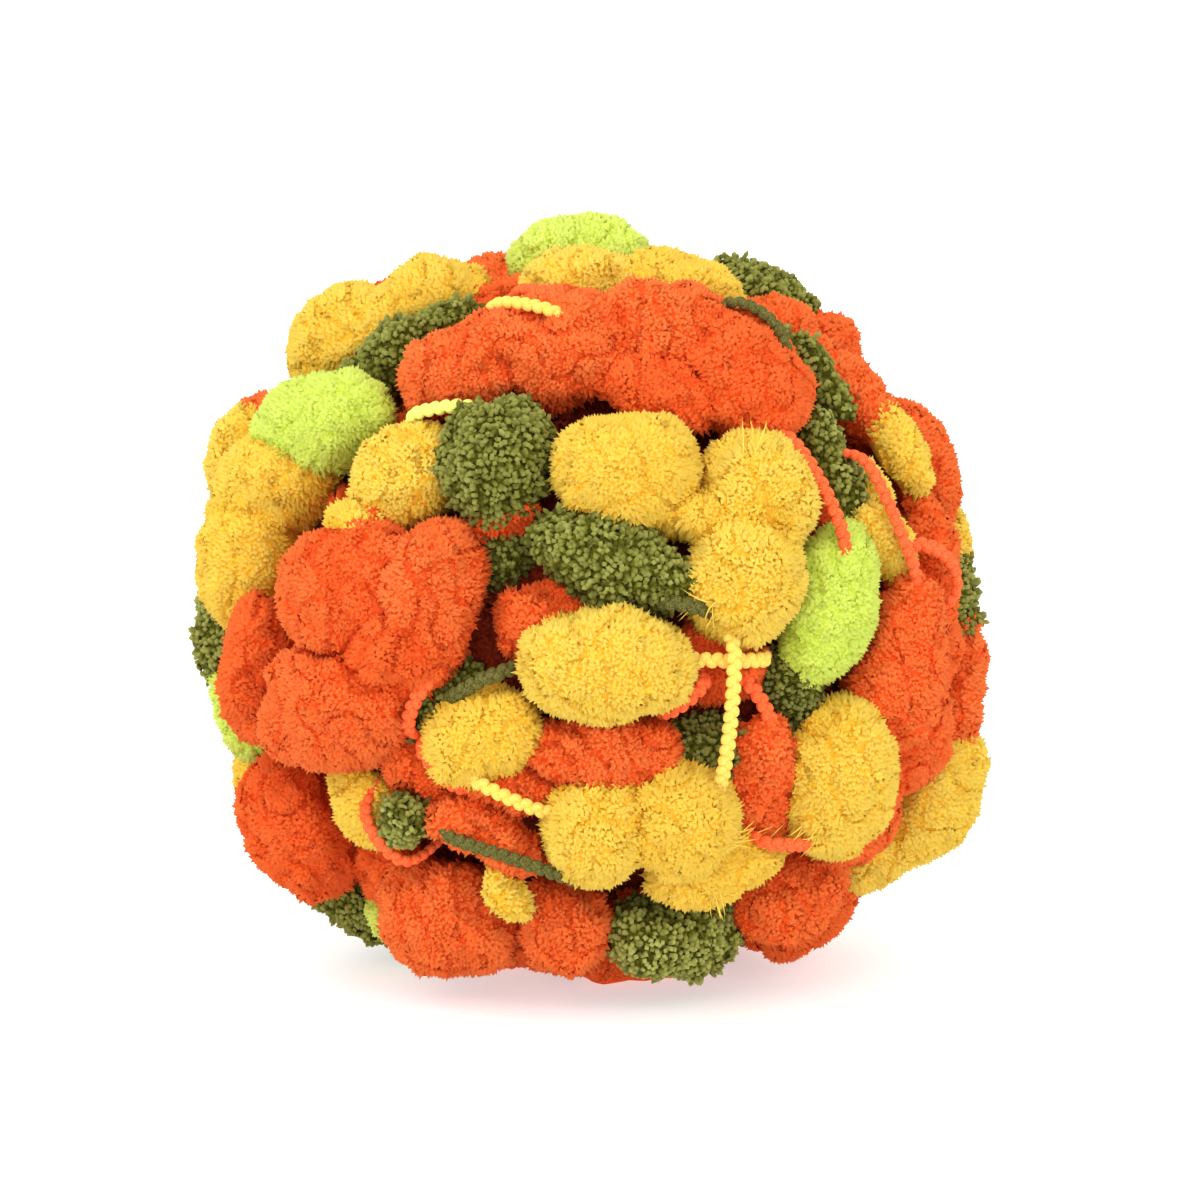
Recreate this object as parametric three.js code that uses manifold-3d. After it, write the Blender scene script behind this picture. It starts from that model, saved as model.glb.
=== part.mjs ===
// A ball of pom pom yarn, about 180 mm across: a thin chain-stitched cord that carries a plump
// plush pompom every few centimetres, wound into a ball that rests on a small flat spot.
// Units are millimetres, +Z is up, +X is to the viewer's right and the viewer looks along +Y.
// The wound ball is one solid: each pompom and each cord that shows is joined to its neighbours.

import * as THREE from "three";
import { mergeVertices } from "three/addons/utils/BufferGeometryUtils.js";
import Module from "manifold-3d";

const wasm = await Module();
wasm.setup();

// Driving sizes
const BALL_MIDDLE_UP = 76; // the middle of the ball above the surface that it rests on
const CORE_RADIUS = 69; // the tightly wound inside
const CORE_DETAIL = 3;
const LARGE_SIDES = 10; // of the outline of a pompom longer than LARGE_FROM
const SMALL_SIDES = 8;
const LARGE_FROM = 27;
const CORD_WIDE = 3.2;
const CORD_SIDES = 5;
const CORD_STEPS = 8;
const CORD_BOW = 3; // how much nearer to the ball's middle a cord gets towards its ends
const CORD_DIVE = 10; // how much deeper its ends then go in between the pompoms
const CORD_DIVE_BEND = 6; // the higher, the nearer to its ends the cord turns inward
const CORD_OVER = 0.12; // how far it goes on past its places in the table, as a share
const SHORTEST_EDGE = 3.3; // along the creases where pompoms meet
const LEAST_TURN = 0.3; // the cosine up to which a face may turn when an edge is taken out

// A pompom's profile from its root, deep in the ball, to its top. out is a share of its half
// width, up is a share of its half thickness.
const PROFILE_COLUMNS = ["out", "up"];
const PROFILE = [
  [0, -1.2],
  [1, -0.1],
  [0.86, 0.56],
  [0.45, 0.92],
  [0, 1],
];

// The viewpoint from which the places in the tables are read
const VIEW_DISTANCE = 1000;
const VIEW_ELEVATION = THREE.MathUtils.degToRad(8);

// The rest of the ball, which the tables don't reach
const FILL_TRIES = 1500; // places over the whole ball at which a pompom may go
const FILL_LAYER_CHANGE = 2.5;
const FILL_SIZE_CHANGE = 0.1;
const FILL_FRONT = 0.62; // the cosine from the viewer's direction past which the fill starts
const FILL_RIM = -0.3; // the same, up to which the fill lies under the front's rim
const FILL_RIM_SINKS = 6;
const FILL_SPACING = 0.88; // how far apart the middles are pushed, in their mean size
const FILL_ROUNDS = 100; // of pushing the pompoms apart
const FILL_STEP = 0.4; // the share of an overlap that one push takes away
const GOLDEN_ANGLE = Math.PI * (3 - Math.sqrt(5));

const PLUSH_ROUGHNESS = 0.95;
const COLOURS = {
  orange: "#f4632a",
  yellow: "#f7cd48",
  green: "#716c2e",
  lime: "#d8e45c",
};
const FILL_COLOURS = ["orange", "yellow", "lime", "orange", "green", "yellow", "orange"];
const FILL_RIM_COLOUR = "orange";

// Pompoms that show from the front. across and up are the middle of a pompom as seen, from the
// middle of the ball. layer is how far it lies from the ball's middle, and thick is its size in
// that direction. tilt turns its long side from level, in degrees. far is 1 for one past the rim.
const SEEN_COLUMNS = ["colour", "across", "up", "layer", "long", "wide", "thick", "tilt", "far"];
const SEEN = [
  ["lime", -3, 80, 80, 33, 20, 21, 2, 1],
  ["yellow", -3, 73, 78, 28, 19, 20, 10, 0],
  ["yellow", 19, 72, 78, 30, 20, 20, 0, 0],
  ["green", 38, 71, 78, 30, 20, 20, -39, 0],
  ["orange", 51, 60, 77, 22, 18, 18, -50, 1],
  ["orange", -21, 71, 78, 25, 19, 20, 2, 1],
  ["orange", -41, 67, 81, 34, 20, 21, 28, 1],
  ["yellow", -38, 69, 79, 33, 20, 20, 26, 0],
  ["yellow", -55, 61, 79, 30, 14, 14, 53, 0],
  ["yellow", -56, 63, 82, 30, 25, 25, 48, 1],
  ["green", -41, 60, 77, 35, 15, 16, 17, 0],
  ["lime", -60, 43, 81, 42, 22, 24, -19, 0],
  ["lime", -62, 57, 79, 22, 11, 12, 51, 0],
  ["orange", -73, 42, 81, 22, 18, 18, 50, 1],
  ["orange", -27, 55, 79, 31, 23, 24, 16, 0],
  ["orange", -7, 60, 79, 34, 28, 25, 12, 0],
  ["orange", 17, 63, 80, 33, 25, 25, 12, 0],
  ["orange", 33, 54, 80, 34, 29, 26, -75, 0],
  ["orange", 14, 50, 77, 28, 17, 18, -19, 0],
  ["green", -21, 36, 79, 28, 23, 25, 74, 0],
  ["yellow", -41, 32, 77, 26, 22, 23, 49, 0],
  ["yellow", 8, 33, 80, 32, 25, 25, -2, 0],
  ["yellow", 22, 23, 78, 20, 13, 16, -20, 0],
  ["yellow", 35.5, 27.5, 79, 28, 26, 25, 77, 0],
  ["yellow", 34, 10, 80, 30, 25, 25, 77, 0],
  ["green", 4, 13, 76, 36, 20, 21, -20, 0],
  ["yellow", -71, 28, 79, 42, 24, 26, -8, 0],
  ["yellow", -76, 14, 80, 32, 23, 24, 48, 0],
  ["yellow", -78, 37, 83, 26, 19, 20, 75, 1],
  ["yellow", -54, 21, 84, 14, 10, 11, -20, 0],
  ["orange", -54, 7, 80, 33, 31, 26, 56, 0],
  ["orange", -36, 6, 79, 34, 21, 23, 82, 0],
  ["orange", -57, -19, 80, 40, 28, 26, 16, 0],
  ["orange", -74, -11, 80, 34, 18, 19, 54, 0],
  ["orange", -43, -7, 78, 27, 22, 25, 20, 0],
  ["green", -81, -1, 80, 28, 17, 18, -76, 1],
  ["lime", -77, -19, 78, 26, 17, 18, -60, 1],
  ["orange", -65, -46, 80, 34, 28, 26, -63, 0],
  ["yellow", -72, -33, 80, 19, 17, 18, 80, 1],
  ["yellow", -49, -41, 77, 24, 16, 16, -41, 0],
  ["green", -41, -44, 81, 16, 12, 13, 70, 0],
  ["orange", -32, -66, 81, 33, 28, 26, -10, 0],
  ["yellow", -19, -61, 86, 16, 8, 9, -65, 0],
  ["orange", -6, -68, 80, 21, 20, 21, 30, 0],
  ["green", 18, -69, 80, 34, 21, 22, -32, 0],
  ["orange", 43, -61, 80, 30, 19, 20, -8, 0],
  ["orange", 46, -67, 79, 27, 18, 19, 28, 0],
  ["green", -51, -60, 80, 28, 21, 21, -30, 1],
  ["lime", -45, -68, 79, 16, 11, 11, -52, 0],
  ["orange", -22, -48, 79, 31, 13, 14, -27, 0],
  ["yellow", 1, -46, 80, 26, 24, 25, 62, 0],
  ["yellow", 19, -44, 80, 27, 25, 25, -42, 0],
  ["yellow", 27, -54, 79, 32, 17, 18, -1, 0],
  ["yellow", 3, -10, 81, 37, 24, 25, 0, 0],
  ["yellow", -25, -26, 76, 27, 20, 21, 27, 0],
  ["orange", 3, -29, 75, 32, 18, 19, 2, 0],
  ["yellow", 54, -35, 80, 38, 26, 26, -71, 0],
  ["yellow", 75, -39, 84, 31, 23, 24, 60, 0],
  ["yellow", 66, -50, 79, 28, 19, 19, 41, 0],
  ["orange", 67, -11, 80, 39, 22, 23, 79, 0],
  ["orange", 77, -17, 78, 40, 19, 20, -84, 0],
  ["lime", 52, 4, 76, 37, 22, 23, 65, 0],
  ["orange", 56.5, 50, 78, 31, 14, 15, -70, 0],
  ["green", 47.5, 55, 80, 29, 9, 12, -68, 0],
  ["green", 52, 35, 77, 26, 12, 12, -74, 0],
  ["orange", 71.5, 35.5, 80, 31, 17, 18, -72, 0],
  ["yellow", 68.5, 37.5, 82, 22, 12, 12, 77, 0],
  ["yellow", 64, 17, 79, 20, 13, 14, -30, 0],
  ["yellow", 62, 29, 80, 15, 8, 8, 78, 0],
  ["orange", 74, 16, 79, 28, 12, 12, -51, 0],
  ["green", 78, 4, 76, 31, 18, 19, -85, 1],
  ["yellow", 78, 20, 79, 20, 15, 15, -75, 1],
  ["orange", 49, 24, 73, 25, 11, 11, -60, 0],
  ["green", -18, 14, 65, 21, 17, 18, -2, 0],
  ["orange", -20, 22, 73, 18, 8, 10, 12, 0],
  ["orange", -11, 0, 70, 23, 18, 19, 19, 0],
  ["green", -32, -18, 70, 25, 15, 16, 30, 0],
  ["orange", 26, -9, 69, 26, 20, 21, -2, 0],
  ["green", 24, -27, 71, 19, 14, 15, -5, 0],
  ["orange", 37, -37, 75, 35, 15, 16, -79, 0],
  ["green", 43, -16, 71, 24, 15, 16, -50, 0],
  ["orange", -36, -34, 73, 24, 15, 16, -45, 0],
  ["orange", -18, -36, 74, 25, 12, 14, -8, 0],
];

// The axes about which the last rounds of the yarn are wound.
const WINDING_ROUNDS = [
  [0.2, 0.9, 0.4],
  [0.8, -0.3, 0.5],
  [-0.5, 0.4, 0.8],
  [0.9, 0.3, -0.2],
];

// Cords that show from the front, each from one place as seen, over a middle one, to the last.
const CORD_COLUMNS = ["colour", "x1", "y1", "x2", "y2", "x3", "y3", "layer"];
const CORDS = [
  ["yellow", 32, -3, 31, -18, 29, -41, 86],
  ["yellow", 21, -9, 31, -9, 41, -9, 82],
  ["yellow", -31, -34, -20, -39, -8, -45, 84],
  ["lime", -43, 46, -35, 47, -26, 49, 85],
  ["yellow", -25, 72, -14, 70, -4, 68, 90],
  ["orange", -19, 75, -11, 73, -3, 71, 89],
  ["green", 29, 73, 38, 68, 45, 61, 91],
  ["orange", 42, 45, 51, 30, 59, 13, 86],
  ["orange", 61, 39, 67, 23, 76, 4, 88],
  ["orange", 74, 18, 80, 12, 82, 3, 89],
  ["yellow", -55, 30, -49, 36, -43, 41, 86],
  ["green", -36, -49, -18, -53, 2, -62, 87],
  ["orange", -53, -42, -47, -50, -41, -56, 86],
  ["green", -34, -19, -26, -14, -18, -11, 80],
  ["orange", -35, -11, -40, -19, -42, -27, 82],
  ["orange", -40, -28, -35, -33, -29, -40, 82],
  ["green", 15, 4, 22, 3, 29, 1, 84],
  ["orange", 34, -13, 38, -19, 42, -28, 80],
  ["orange", 26, -13, 22, -17, 16, -22, 81],
  ["orange", 38, -51, 44, -50, 51, -51, 86],
];

// The fill's large pompoms, then the small ones that go into the gaps that are left. room is the
// least distance between two pompoms' middles, in their mean size.
const FILL_COLUMNS = ["long", "wide", "thick", "layer", "room"];
const FILL = [
  [37, 28, 24, 76, 0.7],
  [27, 20, 20, 72, 0.6],
];

// The viewer's right, up and backward directions
const RIGHT = new THREE.Vector3(1, 0, 0);
const UP = new THREE.Vector3(0, Math.sin(VIEW_ELEVATION), Math.cos(VIEW_ELEVATION));
const BACK = new THREE.Vector3(0, -Math.cos(VIEW_ELEVATION), Math.sin(VIEW_ELEVATION));

// Turns table rows into objects with named values.
function named(columns, rows) {
  return rows.map((row) => Object.fromEntries(columns.map((name, i) => [name, row[i]])));
}

// The point at a distance of layer from the ball's middle that is seen at (across, up). A place
// past the layer's rim is put on the rim.
function seenPoint(across, up, layer, far = 0) {
  const eye = BACK.clone().multiplyScalar(VIEW_DISTANCE);
  const target = RIGHT.clone().multiplyScalar(across).addScaledVector(UP, up);
  const ray = target.clone().sub(eye).normalize();
  const along = -eye.dot(ray);
  const miss = eye.lengthSq() - along * along;
  if (miss >= layer * layer) return eye.addScaledVector(ray, along).setLength(layer);
  const half = Math.sqrt(layer * layer - miss);
  return eye.addScaledVector(ray, far ? along + half : along - half);
}

// A direction in the ball's surface at a point, turned by tilt from the viewer's right.
function surfaceDirection(point, tilt) {
  const angle = THREE.MathUtils.degToRad(tilt);
  const seen = RIGHT.clone().multiplyScalar(Math.cos(angle)).addScaledVector(UP, Math.sin(angle));
  const outward = point.clone().normalize();
  return seen.addScaledVector(outward, -seen.dot(outward)).normalize();
}

// The pompoms of the front, from their table.
function seenPompoms() {
  return named(SEEN_COLUMNS, SEEN).map((row) => {
    const middle = seenPoint(row.across, row.up, row.layer, row.far);
    return { ...row, middle, along: surfaceDirection(middle, row.tilt) };
  });
}

// How far apart two pompoms' middles lie as seen from the ball's middle, in their mean size.
function spacing(one, other) {
  const size = (pompom) => Math.sqrt(pompom.long * pompom.wide) / 2 / pompom.middle.length();
  return one.middle.angleTo(other.middle) / (size(one) + size(other));
}

// The share of a pompom's direction that points at the viewer.
function facing(pompom) {
  return pompom.middle.dot(BACK) / pompom.middle.length();
}

// Pompoms of one size, put wherever the others leave room.
function pompomsInGaps(others, fill) {
  const pompoms = [];
  for (let i = 0; i < FILL_TRIES; i++) {
    const height = (2 * i + 1) / FILL_TRIES - 1;
    const flat = Math.sqrt(1 - height * height);
    const turn = i * GOLDEN_ANGLE;
    const size = 1 + FILL_SIZE_CHANGE * Math.sin(turn);
    const middle = new THREE.Vector3(flat * Math.cos(turn), flat * Math.sin(turn), height);
    middle.setLength(fill.layer + FILL_LAYER_CHANGE * Math.cos(turn));
    const pompom = { middle, long: fill.long * size, wide: fill.wide * size, thick: fill.thick };
    const fits = [...others, ...pompoms].every((other) => spacing(pompom, other) > fill.room);
    if (fits && facing(pompom) < FILL_FRONT) pompoms.push(pompom);
  }
  return pompoms;
}

// The pompoms of the rest of the ball: put into the gaps, then pushed apart where they crowd.
// Their long sides follow the winding's rounds.
function filledPompoms(seen) {
  const [large, small] = named(FILL_COLUMNS, FILL);
  const lowest = { ...large, middle: new THREE.Vector3(0, 0, -large.layer) };
  const pompoms = [lowest];
  for (const fill of [large, small]) {
    pompoms.push(...pompomsInGaps([...seen, ...pompoms], fill));
  }
  for (let round = 0; round < FILL_ROUNDS; round++) {
    for (const pompom of pompoms.slice(1)) {
      const push = new THREE.Vector3();
      for (const other of [...seen, ...pompoms]) {
        if (other === pompom) continue;
        const overlap = 1 - spacing(pompom, other) / FILL_SPACING;
        const apart = pompom.middle.clone().sub(other.middle);
        if (overlap > 0) push.add(apart.multiplyScalar(overlap * FILL_STEP));
      }
      const layer = pompom.middle.length();
      pompom.middle.add(push).setLength(layer);
    }
  }
  pompoms.forEach((pompom, i) => {
    const axis = new THREE.Vector3(...WINDING_ROUNDS[i % WINDING_ROUNDS.length]);
    pompom.along = axis.cross(pompom.middle).normalize();
    pompom.colour = FILL_COLOURS[i % FILL_COLOURS.length];
    if (facing(pompom) > FILL_RIM) {
      pompom.middle.setLength(pompom.middle.length() - FILL_RIM_SINKS);
      pompom.colour = FILL_RIM_COLOUR;
    }
  });
  return pompoms;
}

// A geometry as a manifold-3d solid.
function solidOf(geometry) {
  const bare = geometry.clone();
  bare.deleteAttribute("normal");
  bare.deleteAttribute("uv");
  const merged = mergeVertices(bare);
  return new wasm.Manifold(
    new wasm.Mesh({
      numProp: 3,
      vertProperties: new Float32Array(merged.attributes.position.array),
      triVerts: new Uint32Array(merged.index.array),
    }),
  );
}

// A pompom 2 units across and about 2 thick, with its top toward +Y.
function pompomGeometry(sides) {
  const fuller = 1 / Math.sqrt(Math.cos(Math.PI / sides)); // makes up for the flats of the outline
  const profile = named(PROFILE_COLUMNS, PROFILE).map(({ out, up }) => new THREE.Vector2(out * fuller, up));
  return new THREE.LatheGeometry(profile, sides);
}

// The matrix that gives a pompom its size, its turn and its place.
function placeOf(pompom) {
  const outward = pompom.middle.clone().normalize();
  const across = pompom.along.clone().cross(outward);
  const place = new THREE.Matrix4().makeBasis(
    pompom.along.clone().multiplyScalar(pompom.long / 2),
    outward.multiplyScalar(pompom.thick / 2),
    across.multiplyScalar(pompom.wide / 2),
  );
  return place.setPosition(pompom.middle);
}

function pompomSolid(pompom) {
  const sides = pompom.long > LARGE_FROM ? LARGE_SIDES : SMALL_SIDES;
  return solidOf(pompomGeometry(sides).applyMatrix4(placeOf(pompom)));
}

// The number at a share t of the way from first, over middle at the half, to last.
function bent(first, middle, last, t) {
  const pull = 2 * middle - (first + last) / 2;
  return first * (1 - t) ** 2 + pull * 2 * t * (1 - t) + last * t ** 2;
}

// A cord's route. It lies over the pompoms and goes in between them at both ends.
function cordRoute(cord) {
  const points = [];
  for (let i = 0; i <= CORD_STEPS; i++) {
    const side = (2 * i) / CORD_STEPS - 1;
    const end = Math.abs(side);
    const t = 0.5 + side * (0.5 + CORD_OVER);
    const across = bent(cord.x1, cord.x2, cord.x3, t);
    const up = bent(cord.y1, cord.y2, cord.y3, t);
    const depth = CORD_BOW * end ** 2 + CORD_DIVE * end ** CORD_DIVE_BEND;
    points.push(seenPoint(across, up, cord.layer).setLength(cord.layer - depth));
  }
  return new THREE.CatmullRomCurve3(points);
}

function cordSolid(cord) {
  const corners = [];
  for (let i = 0; i < CORD_SIDES; i++) {
    const angle = (2 * Math.PI * i) / CORD_SIDES;
    corners.push(new THREE.Vector2(Math.cos(angle), Math.sin(angle)).multiplyScalar(CORD_WIDE / 2));
  }
  const section = new THREE.Shape(corners);
  const options = { extrudePath: cordRoute(cord), steps: CORD_STEPS };
  return solidOf(new THREE.ExtrudeGeometry(section, options));
}

function faceNormal([a, b, c]) {
  return b.clone().sub(a).cross(c.clone().sub(a)).normalize();
}

// Whether each face around a point keeps its facing when that point moves to another place.
function facesKeep(points, faces, from, to) {
  return faces.every((face) => {
    if (face.includes(to)) return true;
    const before = faceNormal(face.map((p) => points[p]));
    const after = faceNormal(face.map((p) => points[p === from ? to : p]));
    return before.dot(after) > LEAST_TURN;
  });
}

// Takes out edges shorter than SHORTEST_EDGE. The end that lies deeper in the ball is kept, so
// that the creases stay sharp.
function withoutShortEdges(solid) {
  const mesh = solid.getMesh();
  const points = [];
  for (let i = 0; i < mesh.vertProperties.length; i += 3) {
    points.push(new THREE.Vector3().fromArray(mesh.vertProperties, i));
  }
  const faces = [];
  for (let i = 0; i < mesh.triVerts.length; i += 3) {
    faces.push(Array.from(mesh.triVerts.slice(i, i + 3)));
  }
  const around = points.map(() => new Set());
  faces.forEach((face) => face.forEach((p) => around[p].add(face)));
  const besides = (p) => new Set([...around[p]].flat().filter((q) => q !== p));

  let taken = 1;
  while (taken > 0) {
    taken = 0;
    const edges = [];
    points.forEach((point, p) => {
      for (const q of besides(p)) {
        const length = point.distanceTo(points[q]);
        if (p < q && length < SHORTEST_EDGE) edges.push({ p, q, length });
      }
    });
    edges.sort((a, b) => a.length - b.length);
    for (const { p, q } of edges) {
      const near = besides(p);
      const shared = [...near].filter((other) => besides(q).has(other));
      if (!near.has(q) || shared.length !== 2) continue;
      const [kept, gone] = points[p].length() < points[q].length() ? [p, q] : [q, p];
      if (!facesKeep(points, [...around[gone]], gone, kept)) continue;
      for (const face of around[gone]) {
        if (face.includes(kept)) {
          face.forEach((other) => other !== gone && around[other].delete(face));
        } else {
          face[face.indexOf(gone)] = kept;
          around[kept].add(face);
        }
      }
      around[gone].clear();
      taken++;
    }
  }
  const left = new Set(around.flatMap((set) => [...set]));
  const geometry = new THREE.BufferGeometry();
  const corners = [...left].flat().flatMap((p) => points[p].toArray());
  geometry.setAttribute("position", new THREE.Float32BufferAttribute(corners, 3));
  return solidOf(geometry);
}

// Gives each face the colour of the pompom that it lies nearest to.
function colourFaces(geometry, pompoms) {
  const position = geometry.attributes.position;
  const shapes = pompoms.map((pompom) => ({
    inverse: placeOf(pompom).invert(),
    colour: new THREE.Color(COLOURS[pompom.colour]),
  }));
  const colours = [];
  for (let i = 0; i < position.count; i += 3) {
    const middle = new THREE.Vector3();
    for (let corner = 0; corner < 3; corner++) {
      middle.add(new THREE.Vector3().fromBufferAttribute(position, i + corner).divideScalar(3));
    }
    const away = shapes.map((shape) => middle.clone().applyMatrix4(shape.inverse).length());
    const { colour } = shapes[away.indexOf(Math.min(...away))];
    for (let corner = 0; corner < 3; corner++) colours.push(...colour.toArray());
  }
  geometry.setAttribute("color", new THREE.Float32BufferAttribute(colours, 3));
}

// Everything below the flat spot, as a box.
function belowFlatSpot() {
  const size = 4 * CORE_RADIUS;
  return new THREE.BoxGeometry(size, size, size).translate(0, 0, -BALL_MIDDLE_UP - size / 2);
}

function yarnBall() {
  const seen = seenPompoms();
  const pompoms = [...seen, ...filledPompoms(seen)];
  const pieces = [
    solidOf(new THREE.IcosahedronGeometry(CORE_RADIUS, CORE_DETAIL)),
    ...pompoms.map(pompomSolid),
    ...named(CORD_COLUMNS, CORDS).map(cordSolid),
  ];
  const joined = pieces.reduce((whole, piece) => whole.add(piece));
  const largest = (solid) => solid.decompose().sort((a, b) => b.volume() - a.volume())[0];
  const whole = withoutShortEdges(largest(joined)).subtract(solidOf(belowFlatSpot()));
  const mesh = largest(whole).getMesh();
  const indexed = new THREE.BufferGeometry();
  indexed.setAttribute("position", new THREE.BufferAttribute(mesh.vertProperties, 3));
  indexed.setIndex(new THREE.BufferAttribute(mesh.triVerts, 1));
  const geometry = indexed.toNonIndexed();
  colourFaces(geometry, pompoms);
  geometry.computeVertexNormals();
  geometry.computeBoundingBox();
  return geometry;
}

const ball = new THREE.Mesh(
  yarnBall(),
  new THREE.MeshStandardMaterial({ vertexColors: true, roughness: PLUSH_ROUGHNESS, metalness: 0 }),
);
ball.name = "yarn_ball";

// The origin is under the middle of the ball's box, on the surface that the ball rests on.
const middle = ball.geometry.boundingBox.getCenter(new THREE.Vector3());
ball.position.set(-middle.x, -middle.y, BALL_MIDDLE_UP);

const part = new THREE.Group();
part.add(ball);
export default part;
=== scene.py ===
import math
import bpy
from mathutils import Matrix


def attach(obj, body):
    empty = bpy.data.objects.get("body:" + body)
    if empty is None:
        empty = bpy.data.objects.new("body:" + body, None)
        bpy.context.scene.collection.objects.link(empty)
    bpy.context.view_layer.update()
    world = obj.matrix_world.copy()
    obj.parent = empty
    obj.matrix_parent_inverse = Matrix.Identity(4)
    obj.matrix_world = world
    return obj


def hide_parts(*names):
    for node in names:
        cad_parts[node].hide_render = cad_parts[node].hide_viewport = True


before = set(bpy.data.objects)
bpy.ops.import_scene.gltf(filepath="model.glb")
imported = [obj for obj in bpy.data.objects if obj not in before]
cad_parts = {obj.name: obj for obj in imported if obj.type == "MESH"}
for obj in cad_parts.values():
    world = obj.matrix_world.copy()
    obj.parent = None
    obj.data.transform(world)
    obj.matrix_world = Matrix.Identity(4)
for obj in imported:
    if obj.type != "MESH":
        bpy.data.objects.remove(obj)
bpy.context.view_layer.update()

# A ball of pom pom yarn, about 180 mm across: plump plush pompoms on a thin chain-stitched cord,
# wound into a ball. The tables and the rules that place the pompoms are those of the part's
# source, in millimetres from the ball's middle, so that every pompom lies where its solid does.
# Here each pompom gets its lumps and its pile of cut tufts, some get loose fibres, and each cord
# gets its stitches.

from types import SimpleNamespace

import bmesh
import bpy
import numpy as np
from mathutils import Color, Vector
from mathutils.kdtree import KDTree

MM = 0.001
BALL_MIDDLE = np.array([0.71, 3.15, 76.0])  # in the part's frame
CORE_RADIUS = 69
CORE_DETAIL = 5
CORE_LUMP = 2

# Pompoms
BODY_DETAIL = 4  # how often the round body of a pompom longer than LONG_FROM is divided
SMALL_DETAIL = 3
LONG_FROM = 30
WAVES = 14  # plain waves in one kind of lump
WAVE_CHANGE = 0.3  # how much their lengths differ
LUMP_COLUMNS = ("length", "height", "seed")
LUMPS = [
    (17.0, 1.1, 1),
    (7.0, 0.6, 2),
]
CREASE_LENGTH = 13.0  # about how far apart the creases in a pompom lie
CREASE_WIDTH = 0.2  # as a share of the waves' height
CREASE_DEPTH = 1.3
MERGE = 3.0  # how near a pompom has to be to another to swell towards it
MERGE_OWN = 2.2  # the same where both have one colour
MERGE_SWELL = 0.25  # how far it swells where they meet, as a share of that
LEAST_SHARE = 0.05  # no point counts as nearer to a pompom's middle, as a share of its size

# Pile, by colour. spacing and wide are the tufts' own, and long is how far they stand above a
# pompom's surface. clump is how far apart they draw together, pull the share of the way to its
# clump's middle that a tuft's tip leans, and dome how much shorter, and darker with painted shade,
# the tufts at a clump's edge are.
# fringe is how much longer the tufts get down a pompom's sides. even is the share of the surface's
# direction in a tuft's shading, and relief that of the lumps' height that the pompoms have.
PILE_COLUMNS = (
    "spacing", "wide", "long", "lean", "clump", "pull", "dome", "fringe", "even", "relief",
)
PILES = {
    "orange": (0.8, 1.5, 0.55, 0.12, 3.0, 0.12, 0.3, 0.5, 0.86, 1.0),
    "yellow": (0.8, 1.5, 0.5, 0.12, 2.6, 0.1, 0.25, 0.8, 0.88, 0.6),
    "green": (1.1, 1.4, 1.05, 0.3, 2.6, 0.35, 0.9, 0.0, 0.45, 1.0),
    "lime": (0.8, 1.5, 0.5, 0.12, 2.6, 0.1, 0.25, 0.4, 0.88, 0.5),
    "deep": (1.4, 2.2, 1.2, 0.2, 2.8, 0.4, 0.6, 0.0, 0.7, 1.0),
}
CURLED = ("green",)  # the colours whose tufts end in plump curls
SURFACE_INSET = 0.6  # how much smaller a pompom's surface is than its pile, as a share of long
BODY_INSET = 0.5  # how far a body lies under that surface
FOOT_INSET = 0.5
JITTER = 0.3  # how far a tuft is moved from its even place, in their distance apart
NUDGE = 0.03  # the small turn over which a surface's facing is measured
LENGTH_CHANGE = 0.35
CLUMP_CHANGE = 0.2
CLUMP_FALL = 2  # how fast the tufts get shorter towards a clump's edge
STRAYS = 0.04  # the share of tufts that stand out
STRAY_LENGTH = 1.8
SPECKS = 0.06  # the share of tufts that are short and darkened with painted shade
SPECK_LENGTH = 0.4
SHORTEST = 0.3
HIDDEN_FROM = -0.4  # a tuft that starts deeper than this in another pompom is left out
TURNED_IN = -0.35  # and so is one that points this much into the ball
PIECE_FACES = 190_000  # the most that one piece of pile may have

# How light a tuft is: at its best, and what it loses as painted shade at its clump's edge, in a
# crease and as a speck, then how much clumps and single tufts differ at random and, as painted
# shade, how much lumps do.
SHADE_MOST = 0.8
SHADE_EDGE = 0.5
SHADE_CREASE = 0.6
SHADE_SPECK = 0.5
SHADE_MEETING = 0.5  # painted shade where it meets another pompom
MEETING_WIDTH = 1.6
SHADE_DEEP = 0.9  # painted shade down in the gaps between the pompoms
LIT_LAYER = 82  # how far from the ball's middle the gaps begin
GAP_DEPTH = 8
SHADE_CLUMP = 0.1
SHADE_LUMP = 0.08
SHADE_TUFT = 0.1
TINGE_MOST = 0.5  # how far a pompom may be toned

# Cords
CORD_WIDE = 3.2
STITCH_LONG = 3.1
STITCH_WIDE = 2.2
STITCH_PITCH = 1.2
STITCH_TURN = 30  # degrees between a stitch and its cord
STITCH_DETAIL = 2
CORD_BOW = 3  # how much nearer to the ball's middle a cord gets towards its ends
CORD_DIVE = 10  # how much deeper its ends then go in between the pompoms
CORD_DIVE_BEND = 6  # the higher, the nearer to its ends the cord turns inward
CORD_OVER = 0.12  # how far it goes on past its places in the table, as a share
ROUTE_STEPS = 60

FLOOR_GAP = 0.15  # how far the ball's pressed underside lies above the floor
FLOOR_CLEAR = 1.2  # no tufts start below this height

# The photograph's viewpoint
VIEW_DISTANCE = 1000
VIEW_ELEVATION = math.radians(8)
PHOTO_SIDE = 1200
PHOTO_MIDDLE_X = 593  # the pixel at which the ball's middle is seen
PHOTO_MIDDLE_Y = 620
PIXEL = 0.2222  # millimetres at the ball's middle
SENSOR = 36

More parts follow.
